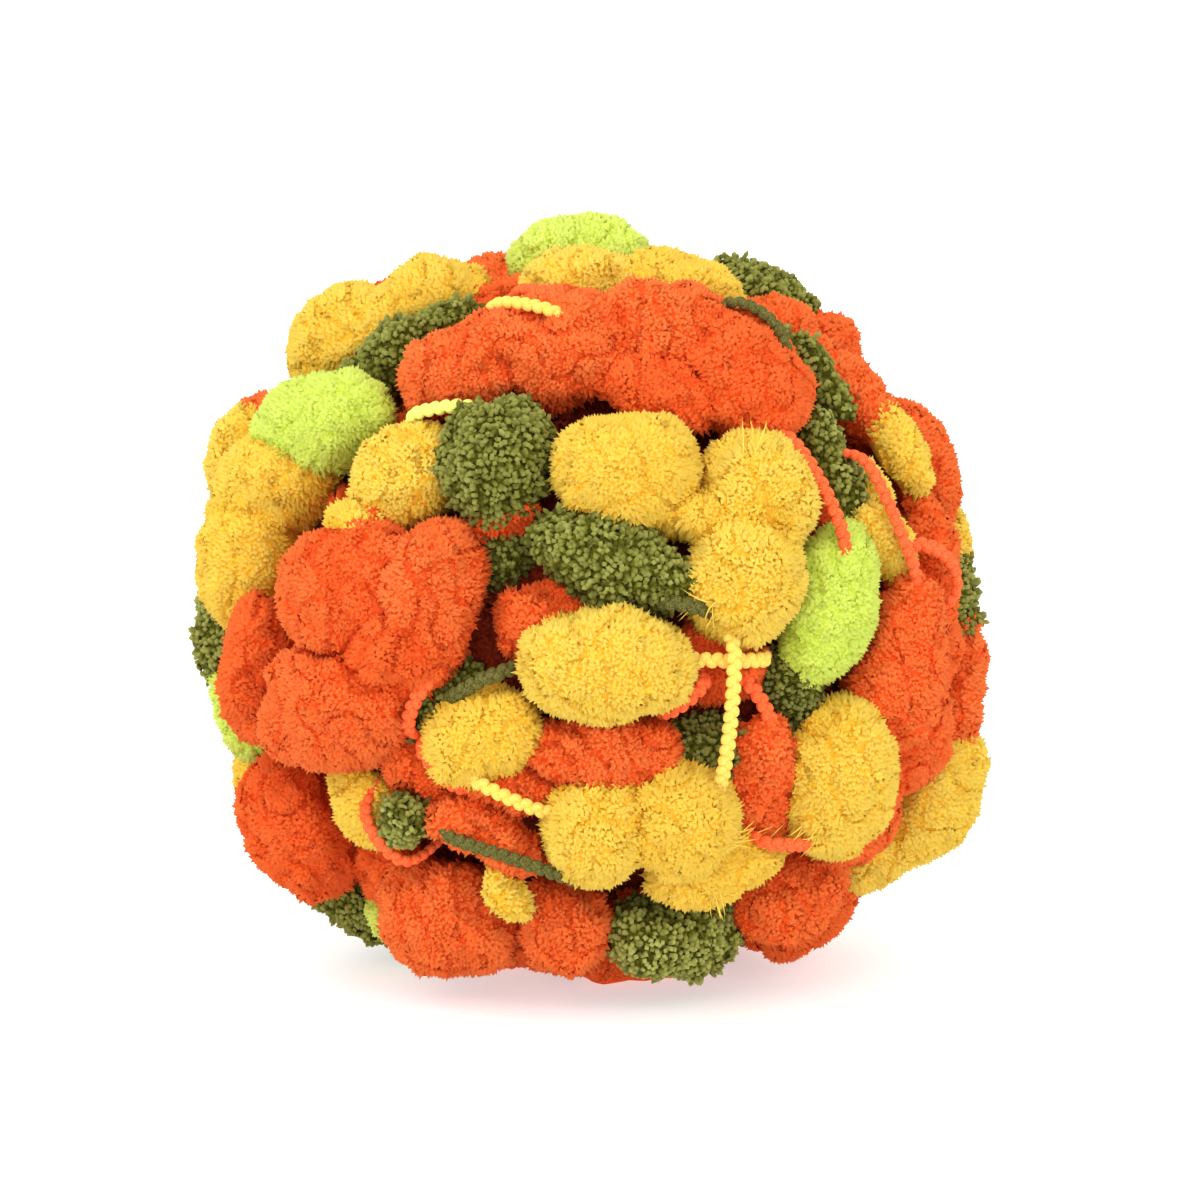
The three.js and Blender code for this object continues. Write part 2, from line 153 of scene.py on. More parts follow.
# The rest of the ball, which the tables don't reach
FILL_TRIES = 1500  # places over the whole ball at which a pompom may go
FILL_LAYER_CHANGE = 2.5
FILL_SIZE_CHANGE = 0.1
FILL_FRONT = 0.62  # the cosine from the viewer's direction past which the fill starts
FILL_RIM = -0.3  # the same, up to which the fill lies under the front's rim
FILL_RIM_SINKS = 6
FILL_SPACING = 0.88  # how far apart the middles are pushed, in their mean size
FILL_ROUNDS = 100  # of pushing the pompoms apart
FILL_STEP = 0.4  # the share of an overlap that one push takes away
GOLDEN_ANGLE = math.pi * (3 - math.sqrt(5))
FILL_COLOURS = ["orange", "yellow", "lime", "orange", "green", "yellow", "orange"]
FILL_RIM_COLOUR = "orange"

# Pompoms that show from the front. across and up are the middle of a pompom as seen, from the
# middle of the ball. layer is how far it lies from the ball's middle, and thick is its size in
# that direction. tilt turns its long side from level, in degrees. far is 1 for one past the rim.
SEEN_COLUMNS = ("colour", "across", "up", "layer", "long", "wide", "thick", "tilt", "far")
SEEN = [
    ("lime", -3, 80, 80, 33, 20, 21, 2, 1),
    ("yellow", -3, 73, 78, 28, 19, 20, 10, 0),
    ("yellow", 19, 72, 78, 30, 20, 20, 0, 0),
    ("green", 38, 71, 78, 30, 20, 20, -39, 0),
    ("orange", 51, 60, 77, 22, 18, 18, -50, 1),
    ("orange", -21, 71, 78, 25, 19, 20, 2, 1),
    ("orange", -41, 67, 81, 34, 20, 21, 28, 1),
    ("yellow", -38, 69, 79, 33, 20, 20, 26, 0),
    ("yellow", -55, 61, 79, 30, 14, 14, 53, 0),
    ("yellow", -56, 63, 82, 30, 25, 25, 48, 1),
    ("green", -41, 60, 77, 35, 15, 16, 17, 0),
    ("lime", -60, 43, 81, 42, 22, 24, -19, 0),
    ("lime", -62, 57, 79, 22, 11, 12, 51, 0),
    ("orange", -73, 42, 81, 22, 18, 18, 50, 1),
    ("orange", -27, 55, 79, 31, 23, 24, 16, 0),
    ("orange", -7, 60, 79, 34, 28, 25, 12, 0),
    ("orange", 17, 63, 80, 33, 25, 25, 12, 0),
    ("orange", 33, 54, 80, 34, 29, 26, -75, 0),
    ("orange", 14, 50, 77, 28, 17, 18, -19, 0),
    ("green", -21, 36, 79, 28, 23, 25, 74, 0),
    ("yellow", -41, 32, 77, 26, 22, 23, 49, 0),
    ("yellow", 8, 33, 80, 32, 25, 25, -2, 0),
    ("yellow", 22, 23, 78, 20, 13, 16, -20, 0),
    ("yellow", 35.5, 27.5, 79, 28, 26, 25, 77, 0),
    ("yellow", 34, 10, 80, 30, 25, 25, 77, 0),
    ("green", 4, 13, 76, 36, 20, 21, -20, 0),
    ("yellow", -71, 28, 79, 42, 24, 26, -8, 0),
    ("yellow", -76, 14, 80, 32, 23, 24, 48, 0),
    ("yellow", -78, 37, 83, 26, 19, 20, 75, 1),
    ("yellow", -54, 21, 84, 14, 10, 11, -20, 0),
    ("orange", -54, 7, 80, 33, 31, 26, 56, 0),
    ("orange", -36, 6, 79, 34, 21, 23, 82, 0),
    ("orange", -57, -19, 80, 40, 28, 26, 16, 0),
    ("orange", -74, -11, 80, 34, 18, 19, 54, 0),
    ("orange", -43, -7, 78, 27, 22, 25, 20, 0),
    ("green", -81, -1, 80, 28, 17, 18, -76, 1),
    ("lime", -77, -19, 78, 26, 17, 18, -60, 1),
    ("orange", -65, -46, 80, 34, 28, 26, -63, 0),
    ("yellow", -72, -33, 80, 19, 17, 18, 80, 1),
    ("yellow", -49, -41, 77, 24, 16, 16, -41, 0),
    ("green", -41, -44, 81, 16, 12, 13, 70, 0),
    ("orange", -32, -66, 81, 33, 28, 26, -10, 0),
    ("yellow", -19, -61, 86, 16, 8, 9, -65, 0),
    ("orange", -6, -68, 80, 21, 20, 21, 30, 0),
    ("green", 18, -69, 80, 34, 21, 22, -32, 0),
    ("orange", 43, -61, 80, 30, 19, 20, -8, 0),
    ("orange", 46, -67, 79, 27, 18, 19, 28, 0),
    ("green", -51, -60, 80, 28, 21, 21, -30, 1),
    ("lime", -45, -68, 79, 16, 11, 11, -52, 0),
    ("orange", -22, -48, 79, 31, 13, 14, -27, 0),
    ("yellow", 1, -46, 80, 26, 24, 25, 62, 0),
    ("yellow", 19, -44, 80, 27, 25, 25, -42, 0),
    ("yellow", 27, -54, 79, 32, 17, 18, -1, 0),
    ("yellow", 3, -10, 81, 37, 24, 25, 0, 0),
    ("yellow", -25, -26, 76, 27, 20, 21, 27, 0),
    ("orange", 3, -29, 75, 32, 18, 19, 2, 0),
    ("yellow", 54, -35, 80, 38, 26, 26, -71, 0),
    ("yellow", 75, -39, 84, 31, 23, 24, 60, 0),
    ("yellow", 66, -50, 79, 28, 19, 19, 41, 0),
    ("orange", 67, -11, 80, 39, 22, 23, 79, 0),
    ("orange", 77, -17, 78, 40, 19, 20, -84, 0),
    ("lime", 52, 4, 76, 37, 22, 23, 65, 0),
    ("orange", 56.5, 50, 78, 31, 14, 15, -70, 0),
    ("green", 47.5, 55, 80, 29, 9, 12, -68, 0),
    ("green", 52, 35, 77, 26, 12, 12, -74, 0),
    ("orange", 71.5, 35.5, 80, 31, 17, 18, -72, 0),
    ("yellow", 68.5, 37.5, 82, 22, 12, 12, 77, 0),
    ("yellow", 64, 17, 79, 20, 13, 14, -30, 0),
    ("yellow", 62, 29, 80, 15, 8, 8, 78, 0),
    ("orange", 74, 16, 79, 28, 12, 12, -51, 0),
    ("green", 78, 4, 76, 31, 18, 19, -85, 1),
    ("yellow", 78, 20, 79, 20, 15, 15, -75, 1),
    ("orange", 49, 24, 73, 25, 11, 11, -60, 0),
    ("green", -18, 14, 65, 21, 17, 18, -2, 0),
    ("orange", -20, 22, 73, 18, 8, 10, 12, 0),
    ("orange", -11, 0, 70, 23, 18, 19, 19, 0),
    ("green", -32, -18, 70, 25, 15, 16, 30, 0),
    ("orange", 26, -9, 69, 26, 20, 21, -2, 0),
    ("green", 24, -27, 71, 19, 14, 15, -5, 0),
    ("orange", 37, -37, 75, 35, 15, 16, -79, 0),
    ("green", 43, -16, 71, 24, 15, 16, -50, 0),
    ("orange", -36, -34, 73, 24, 15, 16, -45, 0),
    ("orange", -18, -36, 74, 25, 12, 14, -8, 0),
]

# The axes about which the last rounds of the yarn are wound.
WINDING_ROUNDS = [
    (0.2, 0.9, 0.4),
    (0.8, -0.3, 0.5),
    (-0.5, 0.4, 0.8),
    (0.9, 0.3, -0.2),
]

# Cords that show from the front, each from one place as seen, over a middle one, to the last.
CORD_COLUMNS = ("colour", "x1", "y1", "x2", "y2", "x3", "y3", "layer")
CORDS = [
    ("yellow", 32, -3, 31, -18, 29, -41, 86),
    ("yellow", 21, -9, 31, -9, 41, -9, 82),
    ("yellow", -31, -34, -20, -39, -8, -45, 84),
    ("lime", -43, 46, -35, 47, -26, 49, 85),
    ("yellow", -25, 72, -14, 70, -4, 68, 90),
    ("orange", -19, 75, -11, 73, -3, 71, 89),
    ("green", 29, 73, 38, 68, 45, 61, 91),
    ("orange", 42, 45, 51, 30, 59, 13, 86),
    ("orange", 61, 39, 67, 23, 76, 4, 88),
    ("orange", 74, 18, 80, 12, 82, 3, 89),
    ("yellow", -55, 30, -49, 36, -43, 41, 86),
    ("green", -36, -49, -18, -53, 2, -62, 87),
    ("orange", -53, -42, -47, -50, -41, -56, 86),
    ("green", -34, -19, -26, -14, -18, -11, 80),
    ("orange", -35, -11, -40, -19, -42, -27, 82),
    ("orange", -40, -28, -35, -33, -29, -40, 82),
    ("green", 15, 4, 22, 3, 29, 1, 84),
    ("orange", 34, -13, 38, -19, 42, -28, 80),
    ("orange", 26, -13, 22, -17, 16, -22, 81),
    ("orange", 38, -51, 44, -50, 51, -51, 86),
]

# The fill's large pompoms, then the small ones that go into the gaps that are left. room is the
# least distance between two pompoms' middles, in their mean size.
FILL_COLUMNS = ("long", "wide", "thick", "layer", "room")
FILL = [
    (37, 28, 24, 76, 0.7),
    (27, 20, 20, 72, 0.6),
]

# Loose fibres, in bunches. across and up are where a bunch starts as seen, turn is which way it
# points from the viewer's right, in degrees, and number is how many fibres it has.
WISP_COLUMNS = ("colour", "across", "up", "turn", "number")
WISPS = [
    ("yellow", 36, -47, -15, 14),
    ("yellow", 33, -50, 10, 8),
    ("yellow", 21, -61, -80, 9),
    ("yellow", 26, -62, -60, 9),
    ("yellow", 47, -48, -110, 8),
    ("yellow", 25, 4, -130, 7),
    ("yellow", 34, 40, 90, 8),
    ("orange", 40, -53, 100, 6),
]
WISP_LONG = 4.5
WISP_WIDE = 0.4
WISP_REACH = 3.5  # how wide a bunch is
WISP_BEHIND = 4  # how far behind the bunch's foremost fibre the others may start
WISP_RISE = 0.5  # how much it points outward
WISP_SPREAD = 0.35  # how much its fibres' directions differ
WISP_BEND = 0.35
WISP_TAPER = 0.5  # how fast a fibre gets narrower before its point
WISP_STEPS = 4
WISP_SIDES = 3
WISP_SHADE = 0.7

# Colours of the yarn: its tufts' feet, darker as painted shade, their sides and tips, and the tone
# that some pompoms take on
YARNS = {
    "orange": SimpleNamespace(foot="#b83006", side="#f66328", tip="#fe8746", tinge="#f25a22"),
    "yellow": SimpleNamespace(foot="#d88c14", side="#f4cb40", tip="#fbdc66", tinge="#f7c440"),
    "green": SimpleNamespace(foot="#141400", side="#66661a", tip="#b4b464", tinge="#5c5e1c"),
    "lime": SimpleNamespace(foot="#a0b030", side="#d8ea58", tip="#e9f780", tinge="#ccdf54"),
    # the core's yarn, dark as painted shade in the deepest gaps
    "deep": SimpleNamespace(foot="#3a0d04", side="#8c2a12", tip="#b8421e", tinge="#6a3010"),
}

# The cords' own colours
CORD_YARNS = {
    "orange": SimpleNamespace(side="#e4481c", tip="#fc7c48"),
    "yellow": SimpleNamespace(side="#ecb83c", tip="#fbdf78"),
    "green": SimpleNamespace(side="#3a3614", tip="#77743c"),
    "lime": SimpleNamespace(side="#d8dc50", tip="#f6f890"),
}

# The rings of a tuft below its tip: out is a share of its half width and up of its length
RING_COLUMNS = ("out", "up")
CONE = [(1.0, 0.0)]
CONE_SIDES = 3
CURL = [(0.8, 0.0), (0.9, 0.7)]
CURL_SIDES = 4
NEARLY_UPRIGHT = 0.9  # a direction with this much of Z is squared with X rather than with Z

# The pile's map has a column for each pompom, in which a darker tuft lies further left
MAP_EDGE = 0.1  # the share of a column that is left free at each side
MAP_MARGIN = 0.02  # and of the map's height, at its foot and top
MAP_TUFT_WIDTH = 0.05

# Where along a tuft, and at which of its shades, it has its foot's, side's and tip's colours; the
# darker foot colour is painted shade
HEIGHT_STOPS = (0.0, 0.45, 1.0)
SHADE_STOPS = (0.0, 0.35, 0.85)
SHADE_SHARE = 0.5  # how much of a tuft's colour comes from its shade

# Fine fibres, as a bump with its length, strength and depth
BODY_FIBRES = (0.9, 0.6, 0.4)
CORD_FIBRES = (0.35, 0.5, 0.15)
FIBRE_DETAIL = 3
FIBRE_STOPS = (0.3, 0.7)  # between these heights they change from the darker to the lighter colour

# Matt plush
ROUGHNESS = 0.95
SPECULAR = 0.1
SHEEN = 0.18
SHEEN_ROUGHNESS = 0.5

# Studio
FLOOR_REACH = 60  # in metres from the middle
FLOOR_TONE = 0.65
FLOOR_ROUGHNESS = 0.6
FLOOR_GLOW = 0.5
SURROUND = 1.35
LAMP_WIDTH = math.radians(60)
LAMP_COLUMNS = ("name", "strength", "place")
LAMPS = [
    ("soft_lamp", 0.8, (-0.7, -0.9, 1.4)),
    ("fill_lamp", 0.6, (0.1, -1.4, 0.4)),
]

# The viewer's right, up and backward directions
RIGHT = np.array([1.0, 0.0, 0.0])
UP = np.array([0.0, math.sin(VIEW_ELEVATION), math.cos(VIEW_ELEVATION)])
BACK = np.array([0.0, -math.cos(VIEW_ELEVATION), math.sin(VIEW_ELEVATION)])


def named(columns, rows):
    """Table rows as objects with named values."""
    return [SimpleNamespace(**dict(zip(columns, row))) for row in rows]


def unit(vectors):
    """The vectors made 1 long."""
    return vectors / np.linalg.norm(vectors, axis=-1, keepdims=True)


def seen_point(across, up, layer, far=0):
    """The point at a distance of layer from the ball's middle that is seen at (across, up)."""
    eye = BACK * VIEW_DISTANCE
    ray = unit(RIGHT * across + UP * up - eye)
    along = -eye @ ray
    miss = eye @ eye - along * along
    if miss >= layer * layer:
        return unit(eye + ray * along) * layer
    half = math.sqrt(layer * layer - miss)
    return eye + ray * (along + half if far else along - half)


def surface_direction(point, tilt):
    """A direction in the ball's surface, turned by tilt from the viewer's right."""
    angle = math.radians(tilt)
    seen = RIGHT * math.cos(angle) + UP * math.sin(angle)
    outward = unit(point)
    return unit(seen - outward * (seen @ outward))


def seen_pompoms():
    """The front's pompoms, from their table."""
    pompoms = named(SEEN_COLUMNS, SEEN)
    for pompom in pompoms:
        pompom.middle = seen_point(pompom.across, pompom.up, pompom.layer, pompom.far)
        pompom.along = surface_direction(pompom.middle, pompom.tilt)
    return pompoms


def spacings(pompom, others):
    """How far apart middles lie as seen from the ball's middle, in the pompoms' mean size."""
    middles = np.array([other.middle for other in others])
    far = np.linalg.norm(middles, axis=1)
    sizes = np.array([math.sqrt(other.long * other.wide) for other in others]) / 2 / far
    layer = np.linalg.norm(pompom.middle)
    size = math.sqrt(pompom.long * pompom.wide) / 2 / layer
    cosine = middles @ pompom.middle / far / layer
    return np.arccos(np.clip(cosine, -1, 1)) / (size + sizes)


def facing(pompom):
    """The cosine between a pompom's direction and the viewer's."""
    return pompom.middle @ BACK / np.linalg.norm(pompom.middle)


def pompoms_in_gaps(others, fill):
    """Pompoms of one size, put wherever the others leave room."""
    pompoms = []
    for i in range(FILL_TRIES):
        height = (2 * i + 1) / FILL_TRIES - 1
        flat = math.sqrt(1 - height * height)
        turn = i * GOLDEN_ANGLE
        size = 1 + FILL_SIZE_CHANGE * math.sin(turn)
        direction = np.array([flat * math.cos(turn), flat * math.sin(turn), height])
        layer = fill.layer + FILL_LAYER_CHANGE * math.cos(turn)
        pompom = SimpleNamespace(
            middle=direction * layer, long=fill.long * size, wide=fill.wide * size, thick=fill.thick
        )
        fits = (spacings(pompom, others + pompoms) > fill.room).all()
        if fits and facing(pompom) < FILL_FRONT:
            pompoms.append(pompom)
    return pompoms


def push_apart(pompoms, seen):
    """Moves the filled pompoms, but for the lowest, away from those that they crowd."""
    for _ in range(FILL_ROUNDS):
        for pompom in pompoms[1:]:
            others = [other for other in seen + pompoms if other is not pompom]
            overlaps = np.maximum(1 - spacings(pompom, others) / FILL_SPACING, 0)
            apart = pompom.middle - np.array([other.middle for other in others])
            layer = np.linalg.norm(pompom.middle)
            push = (apart * overlaps[:, None]).sum(0) * FILL_STEP
            pompom.middle = unit(pompom.middle + push) * layer


def filled_pompoms(seen):
    """The pompoms of the rest of the ball. Their long sides follow the winding's rounds."""
    large, small = named(FILL_COLUMNS, FILL)
    lowest = SimpleNamespace(**vars(large))
    lowest.middle = np.array([0.0, 0.0, -large.layer])
    pompoms = [lowest]
    for fill in (large, small):
        pompoms += pompoms_in_gaps(seen + pompoms, fill)
    push_apart(pompoms, seen)
    for i, pompom in enumerate(pompoms):
        axis = np.array(WINDING_ROUNDS[i % len(WINDING_ROUNDS)])
        pompom.along = unit(np.cross(axis, pompom.middle))
        pompom.colour = FILL_COLOURS[i % len(FILL_COLOURS)]
        if facing(pompom) > FILL_RIM:
            pompom.middle -= unit(pompom.middle) * FILL_RIM_SINKS
            pompom.colour = FILL_RIM_COLOUR
    return pompoms


def give_axes(pompom):
    """Gives a pompom its directions, as columns, and half its body's size along each."""
    outward = unit(pompom.middle)
    pompom.axes = np.column_stack([pompom.along, np.cross(outward, pompom.along), outward])
    size = np.array([pompom.long, pompom.wide, pompom.thick])
    pompom.half = size / 2 - SURFACE_INSET * pompom.pile.long


def waves(points, length, seed):
    """Smooth lumps of about that length at the points, mostly from -1 to 1."""
    random = np.random.default_rng(seed)
    directions = unit(random.normal(size=(WAVES, 3)))
    pace = 2 * math.pi / length * random.uniform(1 - WAVE_CHANGE, 1 + WAVE_CHANGE, (WAVES, 1))
    starts = random.uniform(0, 2 * math.pi, WAVES)
    return np.sin(points @ (directions * pace).T + starts).sum(1) / math.sqrt(WAVES)


def lumps(points):
    """How high the lumps are at each point."""
    kinds = named(LUMP_COLUMNS, LUMPS)
    return sum(kind.height * waves(points, kind.length, kind.seed) for kind in kinds)


def creases(points):
    """How deep each point lies in a crease, from 0 to 1."""
    ridges = np.abs(waves(points, CREASE_LENGTH, len(LUMPS) + 1))
    return np.maximum(1 - ridges / CREASE_WIDTH, 0)


def distance_to(points, pompom):
    """About how far each point lies outside a pompom's body, less than 0 inside it."""
    local = (points - pompom.middle) @ pompom.axes / pompom.half
    share = np.maximum(np.linalg.norm(local, axis=1), LEAST_SHARE)
    return share * (share - 1) / np.linalg.norm(local / pompom.half, axis=1)


def neighbours_of(pompom, pompoms):
    """The pompoms near enough to touch one or make it swell."""
    found = []
    for other in pompoms:
        reach = pompom.half.max() + other.half.max() + MERGE_OWN
        if other is not pompom and np.linalg.norm(other.middle - pompom.middle) < reach:
            found.append(other)
    return found


def swelling(points, pompom):
    """How far a body swells at each point where it meets its neighbours."""
    total = np.zeros(len(points))
    for other in pompom.neighbours:
        merge = MERGE_OWN if other.colour == pompom.colour else MERGE
        near = np.maximum(1 - np.abs(distance_to(points, other)) / merge, 0)
        total = np.maximum(total, near * near * merge * MERGE_SWELL)
    return total


def raised(pompom, directions):
    """Points on a pompom's lumpy surface, and how its plain round form faces there."""
    local = directions * pompom.half
    points = pompom.middle + local @ pompom.axes.T
    outward = unit((directions / pompom.half) @ pompom.axes.T)
    relief = lumps(points) - CREASE_DEPTH * creases(points)
    height = relief * pompom.pile.relief + swelling(points, pompom)
    return points + outward * height[:, None], outward


def surface_of(pompom, directions):
    """Points on a pompom's lumpy surface, and its outward directions there."""
    points, outward = raised(pompom, directions)
    first, second = across_of(directions)
    ahead = raised(pompom, unit(directions + first * NUDGE))[0] - points
    aside = raised(pompom, unit(directions + second * NUDGE))[0] - points
    facing_out = unit(np.cross(ahead, aside))
    facing_out *= np.sign((facing_out * outward).sum(1))[:, None]
    return points, facing_out


def icosphere(detail):
    """Corners and faces of a round body of radius 1."""
    mesh = bmesh.new()
    bmesh.ops.create_icosphere(mesh, subdivisions=detail, radius=1)
    corners = np.array([v.co for v in mesh.verts])
    faces = np.array([[v.index for v in face.verts] for face in mesh.faces])
    mesh.free()
    return corners, faces


def spread_directions(count):
    """Directions spread evenly over a sphere."""
    i = np.arange(count)
    height = 1 - (2 * i + 1) / count
    flat = np.sqrt(1 - height * height)
    turn = i * GOLDEN_ANGLE
    return np.column_stack([flat * np.cos(turn), flat * np.sin(turn), height])


def stretch_of(pompom, directions):
    """How much closer together directions have to lie for points on the body to be evenly apart."""
    return np.linalg.norm(directions / pompom.half, axis=1)


def spread_on_body(pompom, spacing, random):
    """Directions whose points on a pompom's body lie about evenly apart."""
    most = stretch_of(pompom, np.eye(3)).max()
    count = int(4 * math.pi * np.prod(pompom.half) * most / spacing**2)
    apart = math.sqrt(4 * math.pi / count)
    moves = random.normal(scale=JITTER * apart, size=(count, 3))
    directions = unit(spread_directions(count) + moves)
    return directions[random.random(count) < stretch_of(pompom, directions) / most]


def hidden(points, pompom):
    """Whether each point lies in the core, the floor or another pompom."""
    under = points[:, 2] + BALL_MIDDLE[2] < FLOOR_CLEAR
    gone = under | (np.linalg.norm(points, axis=1) < CORE_RADIUS - CORE_LUMP)
    for other in pompom.neighbours:
        gone |= distance_to(points, other) < HIDDEN_FROM
    return gone


def meeting(points, pompom):
    """How near each point is to where its pompom meets another, from 0 to 1, for the painted shade
    there.
    """
    near = np.zeros(len(points))
    for other in pompom.neighbours:
        away = np.abs(distance_to(points, other)) / MEETING_WIDTH
        near = np.maximum(near, 1 - away)
    return near


def nearest(points, places):
    """The number of the place nearest to each point, and its distance."""
    tree = KDTree(len(places))
    for i, place in enumerate(places):
        tree.insert(place, i)
    tree.balance()
    found = [tree.find(point)[1:] for point in points]
    return np.array([number for number, _ in found]), np.array([far for _, far in found])


def lengths_of(pile, away, clump_change, chance, random):
    """How long tufts are, from how far each lies from its clump's middle and from its chance."""
    length = 1 - pile.dome * CLUMP_FALL * away**2 + CLUMP_CHANGE * clump_change
    length += LENGTH_CHANGE * random.uniform(-1, 1, len(away))
    length = np.where(chance > 1 - STRAYS, STRAY_LENGTH, length)
    length = np.where(chance < SPECKS, SPECK_LENGTH, length)
    return np.maximum(length, SHORTEST) * pile.long


def shades_of(points, pompom, away, clump_change, chance, random):
    """How light each tuft is, from 0 to 1: painted shade at its clump's edge, in creases, as
    specks, in the lumps' hollows, where pompoms meet and deep in the gaps, with tones that differ
    at random.
    """
    shade = SHADE_MOST - SHADE_EDGE * pompom.pile.dome * away
    shade -= SHADE_CREASE * creases(points)
    shade -= SHADE_SPECK * (chance < SPECKS)
    shade += SHADE_CLUMP * clump_change + SHADE_LUMP * lumps(points)
    shade -= SHADE_MEETING * meeting(points, pompom)
    depth = (LIT_LAYER - np.linalg.norm(points, axis=1)) / GAP_DEPTH
    shade -= SHADE_DEEP * np.clip(depth, 0, 1)
    shade += SHADE_TUFT * random.uniform(-1, 1, len(points))
    return np.clip(shade, 0, 1)


def tufts_on(pompom, seed):
    """The feet, tips, directions and shades of the tufts of one pompom."""
    random = np.random.default_rng(seed)
    pile = pompom.pile
    points, outward = surface_of(pompom, spread_on_body(pompom, pile.spacing, random))
    turned = (outward * unit(points)).sum(1)
    keep = ~hidden(points, pompom) & (turned > TURNED_IN)
    points, outward, turned = points[keep], outward[keep], turned[keep]
    clumps = surface_of(pompom, spread_on_body(pompom, pile.clump, random))[0]
    clump, away = nearest(points, clumps)
    away = away / pile.clump
    clump_change = random.uniform(-1, 1, len(clumps))[clump]
    chance = random.random(len(points))
    length = lengths_of(pile, away, clump_change, chance, random) * (1 + pile.fringe * (1 - turned))
    tips = points + outward * length[:, None] + (clumps[clump] - points) * pile.pull
    tips += random.normal(scale=pile.lean, size=points.shape)
    shade = shades_of(points, pompom, away, clump_change, chance, random)
    feet = points - outward * FOOT_INSET
    return SimpleNamespace(feet=feet, tips=tips, outward=outward, shade=shade)


def above_floor(points):
    """The points, with those below the floor pressed flat on it."""
    lowest = FLOOR_GAP - BALL_MIDDLE[2]
    return np.column_stack([points[:, :2], np.maximum(points[:, 2], lowest)])


def new_piece(name, points, faces, material, colour):
    """A piece of triangles, from points in millimetres from the ball's middle, in one yarn."""
    mesh = bpy.data.meshes.new(name)
    mesh.vertices.add(len(points))
    mesh.vertices.foreach_set("co", ((points + BALL_MIDDLE) * MM).ravel())
    mesh.loops.add(faces.size)
    mesh.loops.foreach_set("vertex_index", faces.ravel())
    mesh.polygons.add(len(faces))
    mesh.polygons.foreach_set("loop_start", np.arange(len(faces)) * 3)
    mesh.polygons.foreach_set("loop_total", np.full(len(faces), 3))
    mesh.polygons.foreach_set("use_smooth", np.ones(len(faces), bool))
    mesh.update(calc_edges=True)
    mesh.materials.append(material)
    piece = bpy.data.objects.new(name, mesh)
    bpy.context.scene.collection.objects.link(piece)
    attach(piece, "root")
    return piece


def give_values(piece, **values):
    """Stores a value for each corner under a name that the material reads."""
    for name, numbers in values.items():
        attribute = piece.data.attributes.new(name, "FLOAT", "POINT")
        attribute.data.foreach_set("value", numbers.astype(np.float32))


def joined(parts):
    """Corners and faces of several meshes as one."""
    starts = np.cumsum([0] + [len(corners) for corners, _ in parts])
    faces = [faces + start for (_, faces), start in zip(parts, starts)]
    return np.concatenate([corners for corners, _ in parts]), np.concatenate(faces)


def add_bodies(colour, pompoms, material):
    """The lumpy bodies of one colour's pompoms."""
    rounds = {True: icosphere(BODY_DETAIL), False: icosphere(SMALL_DETAIL)}
    parts = []
    for pompom in pompoms:
        directions, faces = rounds[pompom.long > LONG_FROM]
        points, outward = surface_of(pompom, directions)
        parts.append((above_floor(points - outward * BODY_INSET), faces))
    piece = new_piece(f"{colour}_bodies", *joined(parts), material, colour)
    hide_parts("yarn_ball")


def across_of(directions):
    """Two directions square to each of the directions and to each other."""
    upright = np.abs(directions[:, 2:]) >= NEARLY_UPRIGHT
    helper = np.where(upright, [[1.0, 0.0, 0.0]], [[0.0, 0.0, 1.0]])
    first = unit(np.cross(directions, helper))
    return first, np.cross(directions, first)


def tuft_form(colour):
    """The rings below the tip of a colour's tufts, and how many sides the tufts have."""
    if colour in CURLED:
        return named(RING_COLUMNS, CURL), CURL_SIDES
    return named(RING_COLUMNS, CONE), CONE_SIDES


def all_tufts(pompoms):
    """The tufts of some pompoms in one, with each tuft's pompom and its tinge."""
    tufts = SimpleNamespace()
    for name in ("feet", "tips", "outward", "shade"):
        setattr(tufts, name, np.concatenate([getattr(pompom.tufts, name) for pompom in pompoms]))
    numbers = [len(pompom.tufts.feet) for pompom in pompoms]
    tufts.pompom = np.repeat(np.arange(len(pompoms)), numbers)
    tufts.tinge = np.repeat([pompom.tinge for pompom in pompoms], numbers)
    return tufts


def ring_faces(rings, sides):
    """The faces between rings of corners, from the foot up, and the tip that follows them."""
    around = np.arange(sides)
    after = (around + 1) % sides
    faces = []
    for low in range(0, (rings - 1) * sides, sides):
        high = low + sides
        faces.append(np.column_stack([around + low, after + low, after + high]))
        faces.append(np.column_stack([around + low, after + high, around + high]))
    last = (rings - 1) * sides
    tip = np.full(sides, rings * sides)
    faces.append(np.column_stack([around + last, after + last, tip]))
    return np.concatenate(faces)


def tuft_corners(tufts, pile, rings, sides):
    """The corners of each tuft, the directions of their shading and their heights."""
    count = len(tufts.feet)
    turn = np.random.default_rng(count).uniform(0, 2 * math.pi, count)
    first, second = across_of(tufts.outward)
    corners, normals, heights = [], [], []
    for ring in rings:
        middle = tufts.feet + (tufts.tips - tufts.feet) * ring.up
        for side in range(sides):
            angle = (turn + side * 2 * math.pi / sides)[:, None]
            sideways = first * np.cos(angle) + second * np.sin(angle)
            corners.append(middle + sideways * pile.wide / 2 * ring.out)
            normals.append(tufts.outward * pile.even + sideways * (1 - pile.even) * (1 - ring.up))
            heights.append(ring.up)
    corners.append(tufts.tips)
    normals.append(tufts.outward * pile.even + unit(tufts.tips - tufts.feet) * (1 - pile.even))
    heights.append(1.0)
    return np.stack(corners, axis=1), unit(np.stack(normals, axis=1)), np.array(heights)


